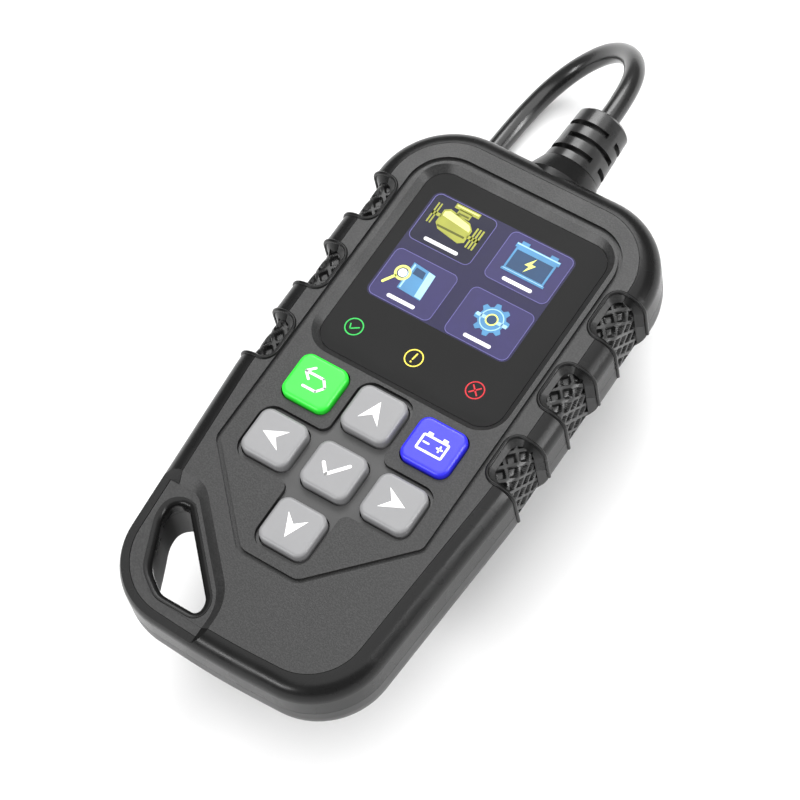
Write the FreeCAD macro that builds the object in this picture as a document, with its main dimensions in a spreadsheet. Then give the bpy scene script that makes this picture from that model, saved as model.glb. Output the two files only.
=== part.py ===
import FreeCAD, Part
import Sketcher
import math
import os

# A hand-held OBD code reader with its lead and 16-pin plug. Millimetres, +Z out of the face, +Y towards
# the lead, origin at the middle of the housing. Heights named *_up are measured from the rear face.

V = FreeCAD.Vector
doc = FreeCAD.newDocument("code_reader")
sizes = doc.addObject("Spreadsheet::Sheet", "sizes")

CELLS = {
    # housing
    "body_length": 128.4, "body_half_width": 33.6, "tail_half_width": 29.6, "bend_y": -6.0,
    "top_radius": 18.0, "bend_radius": 90.0, "tail_radius": 16.5, "tail_crown": 1.3, "crown_radius": 180.0,
    "rear_z": -10.3, "face_up": 19.0, "split_up": 9.5, "split_gap": 0.1,
    "bumper_wall": 2.2, "bumper_lip": 4.25, "lip_up": 16.7, "roll_radius": 4.5, "base_roll": 7.0,
    "fit_gap": 0.1, "wall_inset": 5.0, "rim_inset": 8.7, "rim_up": 14.5, "ceiling_up": 16.0, "floor_up": 2.0,
    # grooved centre panel
    "panel_half_width": 25.8, "panel_top": 56.1, "panel_waist": -24.5, "panel_tail": -43.4,
    "panel_tail_half": 7.2, "panel_radius": 9.5, "groove_width": 1.0, "groove_depth": 0.8,
    # display window
    "lens_width": 44.6, "lens_length": 48.2, "lens_y": 28.5, "lens_radius": 5.0, "lens_thick": 0.8,
    "lens_fit_width": 44.4, "lens_fit_length": 48.0, "lens_sink": 1.5, "bezel_run": 1.5,
    "screen_width": 37.4, "screen_length": 30.6, "screen_y": 32.2,
    "lamp_pitch": 14.9, "lamp_y": 10.2, "lamp_radius": 1.5, "lamp_clearance": 1.8,
    "glass_up": 14.6, "glass_width": 40.0, "glass_length": 33.0, "glass_thick": 1.0, "glass_radius": 0.8,
    "backlight_up": 12.6, "backlight_width": 42.0, "backlight_length": 35.0, "backlight_thick": 2.0,
    "foam_width": 34.0, "foam_length": 26.0, "foam_thick": 1.6,
    # keys
    "key_pitch": 14.6, "keypad_y": -19.0, "key_width": 11.4, "key_length": 10.8, "key_radius": 2.3,
    "key_gap": 0.3, "key_up": 13.6, "key_top_up": 20.6, "key_edge": 0.9, "flange_up": 14.2,
    "flange_thick": 0.9, "flange_width": 12.8, "flange_length": 12.2, "plunger_up": 12.9,
    "plunger_radius": 2.2, "plus_arm": 21.2, "plus_half": 6.7, "plus_outer_radius": 3.5,
    "plus_inner_radius": 2.0, "plus_up": 16.6, "plate_thick": 1.4,
    # side grips
    "grip_low": -7.5, "grip_high": 47.3, "grip_outer": 31.6, "grip_roll": 2.8, "grip_top_up": 17.3,
    "grip_under_up": 15.5, "grip_inner": 29.9, "grip_in_face": 26.5, "grip_foot_up": 2.8,
    "window_first": 0.9, "window_pitch": 19.1, "window_mouth": 11.6, "window_floor": 7.8,
    "window_in_face": 26.2, "window_depth": 2.5, "window_in_floor_turn": 2.0, "window_in_mouth_turn": 3.6,
    # lanyard eye
    "pad_up": 16.7, "pad_bevel": 2.2, "eye_wall": 2.5, "step_upper_turn": 6.0, "step_lower_turn": 12.0,
    "rim_width": 1.6, "rim_round": 1.4, "eye_rim_up": 16.8, "rim_deep": 3.2, "rim_gap": 0.05,
    # lead, strain relief and collar
    "lead_radius": 2.35, "boot_radius": 6.8, "boot_tip_radius": 6.1, "boot_start": 68.3, "boot_end": 82.6,
    "boot_neck": 4.2, "boot_seat": 6.2, "boot_flange": 4.85, "boot_flange_y": 57.3, "boot_shoulder_y": 59.0,
    "boot_seat_y": 60.8, "boot_chamfer": 0.7, "slot_wide": 1.3, "slot_pitch": 3.5, "slot_first": 70.9,
    "slot_depth": 1.7, "collar_radius": 8.7, "collar_seat_y": 61.8, "collar_cone_y": 63.8,
    "collar_end_radius": 6.95, "collar_end_y": 68.2, "passage_end": 75.0, "passage_start": 50.0,
    "coil_radius": 23.5, "coil_layers": 4, "coil_turns": 3.644, "coil_x": -5.0, "coil_y": -18.0,
    "tie_width": 3.0, "tie_thick": 0.9,
    # plug
    "lift": 20.3, "plug_x": -1.6, "plug_half_height": 10.0, "plug_width": 42.0, "plug_back": 30.0,
    "plug_length": 26.0, "plug_wall": 2.2, "plug_corner": 6.0, "plug_edge": 2.0, "shroud_length": 11.0,
    "shroud_grip": 3.6, "plug_entry": 21.0, "plug_screw_x": 15.0, "plug_screw_inset": 8.0,
    "cone_back_radius": 3.4, "cone_front_radius": 4.6, "plug_neck": 3.0, "plug_neck_reach": 2.4,
    "plug_flange": 4.4, "plug_flange_reach": 5.0, "plug_shank": 1.0, "plug_shank_rise": 5.0,
    "plug_head": 2.1, "plug_head_low": 0.2, "plug_head_high": 1.7, "plug_bore": 1.3, "plug_counterbore": 2.3,
    "plug_counterbore_deep": 1.8,
    "shroud_width": 39.6, "shroud_narrow": 33.0, "shroud_height": 16.8, "shroud_wall": 1.5,
    "pin_pitch": 4.0, "pin_row": 4.2, "pin_width": 1.5, "pin_thick": 0.6, "pin_length": 9.0,
    # keymat and switches
    "web_up": 12.1, "web_thick": 0.7, "switch_side": 5.2, "switch_height": 0.7, "switch_stem": 1.5,
    "switch_rise": 0.25,
    # board and what is on it
    "board_up": 9.4, "board_thick": 1.6, "board_inset": 5.4, "boss_radius": 3.0, "screw_radius": 1.0,
    "screw_head": 2.2, "screw_high_x": 23.5, "screw_high_y": 54.0, "label_width": 40.0,
    "label_length": 50.0, "label_thick": 0.3, "label_deep": 0.4, "label_pocket_radius": 2.0,
    "label_fit_width": 39.6, "label_fit_length": 49.6, "label_radius": 1.8, "label_y": 5.0,
    "label_gap": 0.08, "notch_width": 13.0, "notch_y": 55.3,
    "ribbon_x": -7.4, "ribbon_width": 8.6, "ribbon_thick": 0.2, "ribbon_run": 1.6, "ribbon_reach": 5.0,
    "socket_width": 9.4, "socket_length": 3.6, "socket_thick": 1.4, "socket_y": 8.4,
    "gasket_in_width": 36.6, "gasket_in_length": 29.8, "gasket_out_width": 39.4, "gasket_out_length": 32.4,
    "lamp_width": 2.8, "lamp_length": 1.6, "lamp_thick": 0.9, "guide_up": 12.1, "guide_gap": 0.05,
    "chip_side": 12.0, "chip_thick": 1.4, "chip_y": 18.0,
    "driver_width": 5.0, "driver_length": 6.2, "driver_thick": 1.6, "driver_x": 16.0, "driver_y": 30.0,
    "can_radius": 2.5, "can_height": 5.4, "can_x": -17.0, "can_pitch": 7.0, "can_y": 44.0,
    "buzzer_radius": 5.5, "buzzer_height": 4.6, "buzzer_hole": 1.0, "buzzer_x": 14.0, "buzzer_y": -6.0,
    "header_width": 12.4, "header_length": 6.0, "header_height": 5.0, "header_y": 43.0,
    "header_in_width": 10.8, "header_in_height": 3.4, "header_wall": 0.8, "header_back": 1.2,
    "crimp_width": 10.6, "crimp_length": 8.4, "crimp_height": 3.2, "crimp_drop": 4.1, "crimp_y": 45.5,
    "wire_radius": 0.65, "wire_pitch": 2.0, "wire_drop": 2.5,
    "shank_length": 12.4, "shank_up": 1.2, "head_thick": 1.6, "head_up": 0.7, "drive_depth": 1.0,
}
for row, (alias, number) in enumerate(CELLS.items(), 1):
    sizes.set(f"A{row}", alias)
    sizes.set(f"B{row}", str(number))
    sizes.setAlias(f"B{row}", alias)
doc.recompute()

parts = []


def v(alias):
    """The number in a cell of the sheet."""
    return float(sizes.get(alias))


def up(alias):
    """The Z of a height that is measured from the rear face."""
    return v("rear_z") + v(alias)


REAR_Z = v("rear_z")
FLOOR = REAR_Z - v("lift")
FACE = up("face_up")
SPLIT = up("split_up")
OPEN = 30.0  # how far a cutting tool runs past what it cuts


def keep(label, thing):
    """Names a sub-part: its label is its file's name."""
    thing.Label = label
    parts.append(thing)
    return thing


def shaped(label, shape, lift=0.0):
    """A sub-part whose shape is made here from the sheet's sizes, raised by lift."""
    thing = doc.addObject("Part::Feature", label + "_shape")
    thing.Shape = shape
    thing.Placement = FreeCAD.Placement(V(0, 0, lift), FreeCAD.Rotation())
    return keep(label, thing)


# ---- outlines and plain solids ----


def rounded_wire(corners, z=0.0):
    """A closed outline of straight runs and tangent arcs; each corner is (x, y, radius)."""
    edges, starts, ends, mids = [], [], [], []
    for i, (x, y, radius) in enumerate(corners):
        here = V(x, y, z)
        before = V(*corners[i - 1][:2], z) - here
        after = V(*corners[(i + 1) % len(corners)][:2], z) - here
        before.normalize()
        after.normalize()
        half = before.getAngle(after) / 2
        reach = radius / math.tan(half)
        starts.append(here + before * reach)
        ends.append(here + after * reach)
        bisector = (before + after).normalize()
        mids.append(here + bisector * (radius / math.sin(half) - radius))
    for i, (_, _, radius) in enumerate(corners):
        if radius > 0:
            edges.append(Part.Arc(starts[i], mids[i], ends[i]).toShape())
        nxt = (i + 1) % len(corners)
        if (starts[nxt] - ends[i]).Length > 1e-6:
            edges.append(Part.LineSegment(ends[i], starts[nxt]).toShape())
    return Part.Wire(edges)


def prism(wire, low, high):
    """The outline, drawn at z = 0, as a solid between two heights."""
    face = Part.Face(wire)
    face.translate(V(0, 0, low))
    return face.extrude(V(0, 0, high - low))


def mirrored(half):
    """A symmetric outline from the corners of its right half, listed from the top down."""
    centre = [c for c in half if c[0] == 0]
    side = [c for c in half if c[0] != 0]
    return side + centre + [(-x, y, r) for x, y, r in reversed(side)]


def housing_outline(inset):
    """The housing seen from the front, moved in by inset."""
    top = v("body_length") / 2
    tail = -top + v("tail_crown") - 0.4
    return rounded_wire(mirrored([
        (v("body_half_width") - inset, top - inset, v("top_radius") - inset),
        (v("body_half_width") - inset, v("bend_y"), v("bend_radius")),
        (v("tail_half_width") - inset, tail + inset, v("tail_radius") - inset),
        (0, tail - v("tail_crown") + inset, v("crown_radius")),
    ]))


def rounded_block(width, length, radius, x, y, low, high):
    w, d = width / 2, length / 2
    corners = [(x - w, y - d, radius), (x + w, y - d, radius), (x + w, y + d, radius), (x - w, y + d, radius)]
    return prism(rounded_wire(corners), low, high)


def post(radius, x, y, low, high):
    return Part.makeCylinder(radius, high - low, V(x, y, low))


def along_y(radius, x, z, near, far):
    return Part.makeCylinder(radius, far - near, V(x, near, z), V(0, 1, 0))


def edges_at(shape, z):
    """The edges that lie wholly at one height."""
    return [e for e in shape.Edges if abs(e.BoundBox.ZMin - z) < 1e-4 and abs(e.BoundBox.ZMax - z) < 1e-4]


# ---- lanyard eye ----

STEP_LINE = [(-45.0, -34.2), (-21.2, -34.2), (-2.4, -53.0), (-2.4, -75.0)]
EYE_HOLE = [
    (-27.5, -38.1, 4.2), (-21.6, -38.1, 2.6), (-5.7, -54.1, 5.0), (-5.7, -59.5, 3.0), (-16.8, -59.5, 6.0),
    (-22.6, -55.6, 8.0), (-27.4, -44.5, 9.0),
]


def corner_region(shift):
    """The lower left corner outside the step line, moved outwards by shift, as an outline."""
    (left, high), upper, lower, (right, low) = STEP_LINE
    s = shift * math.tan(math.pi / 8)
    return rounded_wire([
        (left, high - shift, 0), (upper[0] - s, upper[1] - shift, v("step_upper_turn") - shift),
        (lower[0] - shift, lower[1] - s, v("step_lower_turn") - shift),
        (right - shift, low, 0), (left, low, 0),
    ])


def pad_cutter():
    """What the sunk pad round the eye takes off the face, with a bevelled step."""
    top, low = corner_region(0), corner_region(v("pad_bevel"))
    top.translate(V(0, 0, FACE))
    low.translate(V(0, 0, up("pad_up")))
    bevel = Part.makeLoft([low, top], True, True)
    return bevel.fuse(prism(corner_region(0), FACE, FACE + OPEN))


def corner_block(margin, low, high):
    """The solid corner that carries the eye."""
    return prism(corner_region(-margin), low, high)


EYE = prism(rounded_wire(EYE_HOLE), -OPEN, OPEN)
PAD = pad_cutter()

# ---- side windows ----


def window_cutter():
    """A grip window at y = 0 on the right: over the face, round the rolled edge and down the side."""
    mouth, floor = v("window_mouth") / 2, v("window_floor") / 2
    depth, roll, outer = v("window_depth"), v("roll_radius"), v("body_half_width")
    slope = (mouth - floor) / depth
    spare, lap = 1.5, 0.01
    axis_x, axis_z = outer - roll, FACE - roll
    end = axis_x + lap
    inner_r, outer_r = roll - depth, roll + spare
    wide = mouth + slope * spare
    trapezium = Part.makePolygon([
        V(axis_x + inner_r, -floor, axis_z), V(axis_x + outer_r, -wide, axis_z),
        V(axis_x + outer_r, wide, axis_z), V(axis_x + inner_r, floor, axis_z),
        V(axis_x + inner_r, -floor, axis_z),
    ])
    section = Part.Face(trapezium)
    bend = section.revolve(V(axis_x, 0, axis_z), V(0, -1, 0), 90)
    flank = section.extrude(V(0, 0, REAR_Z - axis_z - spare))
    flank.translate(V(0, 0, lap))
    inmost = v("window_in_face")
    low = rounded_wire([
        (inmost + depth * slope, -floor, v("window_in_floor_turn")), (end, -floor, 0),
        (end, floor, 0), (inmost + depth * slope, floor, v("window_in_floor_turn")),
    ], axis_z + inner_r)
    high = rounded_wire([
        (inmost - slope * spare, -wide, v("window_in_mouth_turn")), (end, -wide, 0),
        (end, wide, 0), (inmost - slope * spare, wide, v("window_in_mouth_turn")),
    ], axis_z + outer_r)
    face_pocket = Part.makeLoft([low, high], True, True)
    return [bend, flank, face_pocket]


def windows():
    found = []
    for i in range(3):
        for cutter in window_cutter():
            cutter.translate(V(0, v("window_first") + i * v("window_pitch"), 0))
            found += [cutter, cutter.mirror(V(0, 0, 0), V(1, 0, 0))]
    return found


WINDOWS = windows()


def grip_profile(gap):
    """The grip's cross-section in XZ on the right side, grown by gap."""
    outer, roll, top = v("grip_outer") + gap, v("grip_roll"), up("grip_top_up") + gap
    inner, under, left = v("grip_inner") - gap, up("grip_under_up") - gap, v("grip_in_face") - gap
    foot = up("grip_foot_up") - gap
    turn = V(outer - roll * (1 - math.sqrt(0.5)), 0, top - roll * (1 - math.sqrt(0.5)))
    edges = [
        Part.Arc(V(outer, 0, top - roll), turn, V(outer - roll, 0, top)).toShape(),
        Part.LineSegment(V(outer - roll, 0, top), V(left, 0, top)).toShape(),
        Part.LineSegment(V(left, 0, top), V(left, 0, under)).toShape(),
        Part.LineSegment(V(left, 0, under), V(inner, 0, under)).toShape(),
        Part.LineSegment(V(inner, 0, under), V(inner, 0, foot)).toShape(),
        Part.LineSegment(V(inner, 0, foot), V(outer, 0, foot)).toShape(),
        Part.LineSegment(V(outer, 0, foot), V(outer, 0, top - roll)).toShape(),
    ]
    return Part.Face(Part.Wire(edges))


def grip_solid(side, gap):
    section = grip_profile(gap)
    section.translate(V(0, v("grip_low") - gap, 0))
    solid = section.extrude(V(0, v("grip_high") - v("grip_low") + 2 * gap, 0))
    return solid if side > 0 else solid.mirror(V(0, 0, 0), V(1, 0, 0))


# ---- things that both shells share ----

SCREWS = [
    (-v("screw_high_x"), v("screw_high_y")), (v("screw_high_x"), v("screw_high_y")),
    (-25.0, -27.0), (23.0, -49.0),
]
KEYS = {
    "key_ok": (0, 0), "key_up": (0, 1), "key_down": (0, -1), "key_left": (-1, 0), "key_right": (1, 0),
    "key_exit": (-1, 1), "key_battery": (1, 1),
}


def key_centre(name):
    column, row = KEYS[name]
    return column * v("key_pitch"), v("keypad_y") + row * v("key_pitch")


def lead_passage():
    """The hole through the top wall for the strain relief and its collar."""
    gap, end = v("fit_gap"), v("passage_end")
    through = along_y(v("boot_neck") + gap, 0, SPLIT, v("passage_start"), end)
    seat = along_y(v("boot_seat") + gap, 0, SPLIT, v("boot_seat_y") - gap, end)
    collar = along_y(v("collar_radius") + gap, 0, SPLIT, v("collar_seat_y") - gap, end)
    return through.fuse([seat, collar])


PASSAGE = lead_passage()


def inner_space(inset, low, high):
    """The hollow inside the shells, which leaves the eye's corner solid."""
    return prism(housing_outline(inset), low, high).cut(corner_block(v("eye_wall"), low - 1, high + 1))


def plus_outline(grow):
    """The plus-shaped panel round the five grey keys."""
    arm, half, y = v("plus_arm") + grow, v("plus_half") + grow, v("keypad_y")
    outer, inner = v("plus_outer_radius") + grow, v("plus_inner_radius") - grow
    quarter = [(arm, half, outer), (half, half, inner), (half, arm, outer)]
    turned = [(-py, px, r) for px, py, r in quarter]
    corners = quarter + turned + [(-px, -py, r) for px, py, r in quarter + turned]
    return rounded_wire([(px, py + y, r) for px, py, r in corners])


# ---- housing ----


def front_shell():
    low = SPLIT + v("split_gap")
    shell = prism(housing_outline(v("bumper_wall") + v("fit_gap")), low, up("lip_up") - v("fit_gap"))
    shell = shell.fuse(prism(housing_outline(v("bumper_lip") + v("fit_gap")), low, FACE)).removeSplitter()
    hollow = inner_space(v("wall_inset"), low - 1, up("rim_up"))
    hollow = hollow.fuse(inner_space(v("rim_inset"), low - 1, up("ceiling_up")))
    for x, y in SCREWS:
        hollow = hollow.cut(post(v("boss_radius"), x, y, up("board_up") + v("board_thick"), FACE))
    cuts = [hollow, PAD, EYE, PASSAGE]

    edge = v("bezel_run")
    wide = rounded_block(v("lens_width") + 2 * edge, v("lens_length") + 2 * edge, v("lens_radius") + edge,
                         0, v("lens_y"), FACE, FACE + 1)
    tight = rounded_block(v("lens_width"), v("lens_length"), v("lens_radius"), 0, v("lens_y"),
                          FACE - v("lens_sink"), FACE)
    bezel = Part.makeLoft([wire_at(tight, FACE - v("lens_sink")), wire_at(wide, FACE)], True, True)
    seat = FACE - v("lens_sink") - v("lens_thick")
    cuts += [bezel, rounded_block(v("lens_width"), v("lens_length"), v("lens_radius"), 0, v("lens_y"),
                                  seat, FACE - v("lens_sink"))]
    cuts.append(rounded_block(v("screen_width"), v("screen_length"), 1.0, 0, v("screen_y"),
                              up("ceiling_up") - 1, seat + 0.1))
    for i in (-1, 0, 1):
        cuts.append(post(v("lamp_clearance"), i * v("lamp_pitch"), v("lamp_y"), up("ceiling_up") - 1,
                         seat + 0.1))

    cuts.append(prism(plus_outline(0), up("plus_up"), FACE + 1))
    for name in KEYS:
        x, y = key_centre(name)
        gap = 2 * v("key_gap")
        cuts.append(rounded_block(v("key_width") + gap, v("key_length") + gap, v("key_radius") + v("key_gap"),
                                  x, y, up("ceiling_up") - 1, FACE + 1))
    panel = mirrored([
        (v("panel_half_width"), v("panel_top"), v("panel_radius")),
        (v("panel_half_width"), v("panel_waist"), 3.0),
        (v("panel_tail_half"), v("panel_tail"), 4.0),
    ])
    ring = prism(rounded_wire(panel), FACE - v("groove_depth"), FACE + 1)
    inner_panel = rounded_wire(panel).makeOffset2D(-v("groove_width"))
    cuts.append(ring.cut(prism(inner_panel, FACE - v("groove_depth") - 1, FACE + 2)))
    cuts += [grip_solid(side, v("fit_gap")) for side in (-1, 1)]
    cuts += WINDOWS
    for x, y in SCREWS:
        cuts.append(post(v("screw_radius") + 0.05, x, y, low, up("rim_up")))
    for cutter in cuts:
        shell = shell.cut(cutter)
    # the windows part small crumbs from the wall outside the grips, which are left off
    return max(shell.Solids, key=lambda solid: solid.Volume)


def wire_at(block, z):
    """The outline of a block's face at one height."""
    for face in block.Faces:
        if abs(face.BoundBox.ZMin - z) < 1e-4 and abs(face.BoundBox.ZMax - z) < 1e-4:
            return face.OuterWire
    raise ValueError("no face at that height")


def bumper_ring():
    """The softer border moulded onto the shell, which the side windows part into six bonded lengths."""
    low = SPLIT + v("split_gap")
    outer = prism(housing_outline(0), low, FACE)
    outer = outer.makeFillet(v("roll_radius"), edges_at(outer, FACE))
    core = prism(housing_outline(v("bumper_wall")), low - 1, up("lip_up"))
    core = core.fuse(prism(housing_outline(v("bumper_lip")), low - 1, FACE + 1))
    ring = outer.cut(core).cut(PAD).cut(PASSAGE)
    for cutter in WINDOWS + [grip_solid(side, v("fit_gap")) for side in (-1, 1)]:
        ring = ring.cut(cutter)
    return ring


def rear_cover():
    base = REAR_Z
    shell = prism(housing_outline(0), base, SPLIT)
    shell = shell.makeFillet(v("base_roll"), edges_at(shell, base))
    hollow = inner_space(v("wall_inset"), up("floor_up"), SPLIT + 1)
    for x, y in SCREWS:
        hollow = hollow.cut(post(v("boss_radius"), x, y, base, up("board_up")))
    cuts = [hollow, EYE, PASSAGE, *WINDOWS]
    cuts += [grip_solid(side, v("fit_gap")) for side in (-1, 1)]
    for x, y in SCREWS:
        cuts.append(post(v("screw_radius") + 0.3, x, y, base - 1, SPLIT + 1))
        cuts.append(post(v("screw_head") + 0.3, x, y, base - 1, base + 2.4))
    cuts.append(rounded_block(v("label_width"), v("label_length"), v("label_pocket_radius"), 0, v("label_y"),
                              base - 1, base + v("label_deep")))
    return shell.cut(cuts)


def eye_rim():
    """The smooth rolled rim set in the mouth of the lanyard eye."""
    high = up("eye_rim_up")
    outer = rounded_wire(EYE_HOLE).makeOffset2D(-v("rim_gap"))
    inner = rounded_wire(EYE_HOLE).makeOffset2D(-v("rim_width"))
    rim = prism(outer, high - v("rim_deep"), high).cut(prism(inner, high - OPEN, high + 1))
    inner.translate(V(0, 0, high))
    rolled = [e for e in edges_at(rim, high) if e.distToShape(inner)[0] < v("rim_gap")]
    return rim.makeFillet(v("rim_round"), rolled)


shaped("front_shell", front_shell())
shaped("bumper_ring", bumper_ring())
shaped("rear_cover", rear_cover())
shaped("eye_rim", eye_rim())
shaped("grip_insert_left", grip_solid(-1, 0))
shaped("grip_insert_right", grip_solid(1, 0))

# ---- bound primitives: every size below is an expression on the sheet ----


def bind(thing, prop, text):
    thing.setExpression(prop, text)


def place(thing, x, y, z):
    for letter, text in zip("xyz", (x, y, z)):
        bind(thing, f"Placement.Base.{letter}", text)
    return thing


def block(name, width, length, height, x, y, z):
    """A Part::Box centred on x and y, standing on z."""
    thing = doc.addObject("Part::Box", name)
    bind(thing, "Length", width)
    bind(thing, "Width", length)
    bind(thing, "Height", height)
    return place(thing, f"{x} - ({width}) / 2", f"{y} - ({length}) / 2", z)


def rod(name, radius, height, x, y, z):
    """A Part::Cylinder along Z."""
    thing = doc.addObject("Part::Cylinder", name)
    bind(thing, "Radius", radius)
    bind(thing, "Height", height)
    return place(thing, x, y, z)


def minus(name, base, tool):
    thing = doc.addObject("Part::Cut", name)
    thing.Base, thing.Tool = base, tool
    return thing


def joined(name, things):
    thing = doc.addObject("Part::MultiFuse", name)
    thing.Shapes = things
    return thing


def group(name, things):
    """Separate solids that share one node."""
    thing = doc.addObject("Part::Compound", name)
    thing.Links = things
    return thing


# ---- bodies from sketches ----


def new_body(label):
    return doc.addObject("PartDesign::Body", label + "_body")


def plane_of(body, role):
    return next(f for f in body.Origin.OriginFeatures if f.Role == role)


def new_sketch(body, name, lift, role="XY_Plane"):
    sketch = body.newObject("Sketcher::SketchObject", name)
    sketch.AttachmentSupport = [(plane_of(body, role), "")]
    sketch.MapMode = "FlatFace"
    bind(sketch, "AttachmentOffset.Base.z", lift)
    return sketch


def rounded_sketch(body, name, lift, width, length, radius):
    """A rounded rectangle on the body's axis, fully held by its sizes on the sheet."""
    sketch = new_sketch(body, name, lift)
    w, d, r = v(width) / 2, v(length) / 2, v(radius)
    quarter = math.pi / 2
    sides = [
        (V(-w + r, -d), V(w - r, -d)), (V(w, -d + r), V(w, d - r)),
        (V(w - r, d), V(-w + r, d)), (V(-w, d - r), V(-w, -d + r)),
    ]
    centres = [V(w - r, -d + r), V(w - r, d - r), V(-w + r, d - r), V(-w + r, -d + r)]
    for start, end in sides:
        sketch.addGeometry(Part.LineSegment(start, end), False)
    for i, centre in enumerate(centres):
        first, circle = (i - 1) * quarter, Part.Circle(centre, V(0, 0, 1), r)
        sketch.addGeometry(Part.ArcOfCircle(circle, first, first + quarter), False)
    for i in range(4):
        sketch.addConstraint(Sketcher.Constraint("Tangent", i, 2, 4 + i, 1))
        sketch.addConstraint(Sketcher.Constraint("Tangent", 4 + i, 2, (i + 1) % 4, 1))
    for i in range(1, 4):
        sketch.addConstraint(Sketcher.Constraint("Equal", 4, 4 + i))
    sketch.addConstraint(Sketcher.Constraint("Horizontal", 0))
    sketch.addConstraint(Sketcher.Constraint("Vertical", 1))
    sketch.addConstraint(Sketcher.Constraint("Symmetric", 6, 3, 4, 3, -1, 1))
    held = [("Radius", 4, r, radius), ("DistanceX", 6, 3, 5, 3, 2 * (w - r), f"{width} - 2 * {radius}"),
            ("DistanceY", 4, 3, 5, 3, 2 * (d - r), f"{length} - 2 * {radius}")]
    for kind, *where, text in held:
        index = sketch.addConstraint(Sketcher.Constraint(kind, *where))
        sketch.setExpression(f"Constraints[{index}]", qualified(text))
    return sketch


def qualified(text):
    """Cell names in an expression, written as the sheet's."""
    return " ".join(f"sizes.{word}" if word in CELLS else word for word in text.split())


def circle_sketch(body, name, lift, radius):
    sketch = new_sketch(body, name, lift)
    sketch.addGeometry(Part.Circle(V(0, 0, 0), V(0, 0, 1), v(radius)), False)
    sketch.addConstraint(Sketcher.Constraint("Coincident", 0, 3, -1, 1))
    index = sketch.addConstraint(Sketcher.Constraint("Radius", 0, v(radius)))
    sketch.setExpression(f"Constraints[{index}]", qualified(radius))
    return sketch


def pad(body, name, sketch, length):
    feature = body.newObject("PartDesign::Pad", name)
    feature.Profile = sketch
    bind(feature, "Length", length)
    return feature


def rounded_pad(body, name, lift, width, length, radius, height):
    return pad(body, name, rounded_sketch(body, name + "_sketch", lift, width, length, radius), height)


def round_top(body, name, feature, radius, z):
    """Rounds a pad's edges that lie at one height of its body."""
    doc.recompute()
    fillet = body.newObject("PartDesign::Fillet", name)
    wanted = [f"Edge{i}" for i, e in enumerate(feature.Shape.Edges, 1)
              if abs(e.BoundBox.ZMin - z) < 1e-4 and abs(e.BoundBox.ZMax - z) < 1e-4]
    fillet.Base = (feature, wanted)
    bind(fillet, "Radius", radius)
    return fillet


S = "sizes."
REAR = S + "rear_z"


def plate_body(label, width, length, radius, thick, y, lift):
    """A flat rounded plate as a body of its own."""
    body = new_body(label)
    rounded_pad(body, label + "_pad", "0", width, length, radius, thick)
    place(body, "0", y, lift)
    return keep(label, body)


def key_body(name):
    """A key: cap, the flange that holds it under the face, and its plunger."""
    body = new_body(name)
    cap = rounded_pad(body, name + "_cap", f"{REAR} + {S}key_up", "key_width", "key_length", "key_radius",
                      f"{S}key_top_up - {S}key_up")
    round_top(body, name + "_edge", cap, S + "key_edge", up("key_top_up"))
    rounded_pad(body, name + "_flange", f"{REAR} + {S}flange_up", "flange_width", "flange_length",
                "key_radius", S + "flange_thick")
    plunger = circle_sketch(body, name + "_plunger_sketch", f"{REAR} + {S}plunger_up", "plunger_radius")
    pad(body, name + "_plunger", plunger, f"{S}flange_up - {S}plunger_up")
    column, row = KEYS[name]
    place(body, f"{S}key_pitch * {column}", f"{S}keypad_y + {S}key_pitch * {row}", "0")
    return keep(name, body)


for key in KEYS:
    key_body(key)


plate_body("lens_window", "lens_fit_width", "lens_fit_length", "lens_radius", S + "lens_thick",
           S + "lens_y", f"{REAR} + {S}face_up - {S}lens_sink - {S}lens_thick")
plate_body("lcd_glass", "glass_width", "glass_length", "glass_radius", S + "glass_thick",
           S + "screen_y", f"{REAR} + {S}glass_up")
plate_body("lcd_backlight", "backlight_width", "backlight_length", "glass_radius", S + "backlight_thick",
           S + "screen_y", f"{REAR} + {S}backlight_up")
plate_body("lcd_foam", "foam_width", "foam_length", "glass_radius", S + "foam_thick",
           S + "screen_y", f"{REAR} + {S}board_up + {S}board_thick")
plate_body("rear_label", "label_fit_width", "label_fit_length", "label_radius", S + "label_thick",
           S + "label_y", f"{REAR} + {S}label_gap")

# ---- keypad ----


def keypad_plate():
    """The dark plus-shaped plate round the grey keys."""
    low = up("plus_up") + 0.02
    plate = prism(plus_outline(-v("fit_gap")), low, low + v("plate_thick"))
    for name, (column, row) in KEYS.items():
        if column * row == 0:
            x, y = key_centre(name)
            gap = 2 * v("key_gap")
            plate = plate.cut(rounded_block(v("key_width") + gap, v("key_length") + gap,
                                            v("key_radius") + v("key_gap"), x, y, low - 1, low + 5))
    return plate


def keymat_web():
    """The rubber membrane under the key flanges, open where each plunger passes."""
    y = v("keypad_y")
    outline = mirrored([(21.8, y + 22.0, 2.0), (21.8, y - 8.5, 2.0), (9.0, y - 21.3, 2.0)])
    web = prism(rounded_wire(outline), up("web_up"), up("web_up") + v("web_thick"))
    holes = [post(v("plunger_radius") + 0.5, *key_centre(name), REAR_Z, FACE) for name in KEYS]
    return web.cut(holes)


BOARD_TOP = f"{REAR} + {S}board_up + {S}board_thick"
BOARD_LOW = f"{REAR} + {S}board_up"

shaped("keypad_plate", keypad_plate())
shaped("keymat_web", keymat_web())

switches = []
for name, (column, row) in KEYS.items():
    x, y = f"{S}key_pitch * {column}", f"{S}keypad_y + {S}key_pitch * {row}"
    can = block(name + "_can", S + "switch_side", S + "switch_side", S + "switch_height", x, y, BOARD_TOP)
    stem = rod(name + "_stem", S + "switch_stem", f"{S}switch_height + {S}switch_rise", x, y, BOARD_TOP)
    switches.append(joined(name + "_switch", [can, stem]))
keep("tact_switches", group("tact_switch_group", switches))

# ---- main board and what is on it ----


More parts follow.
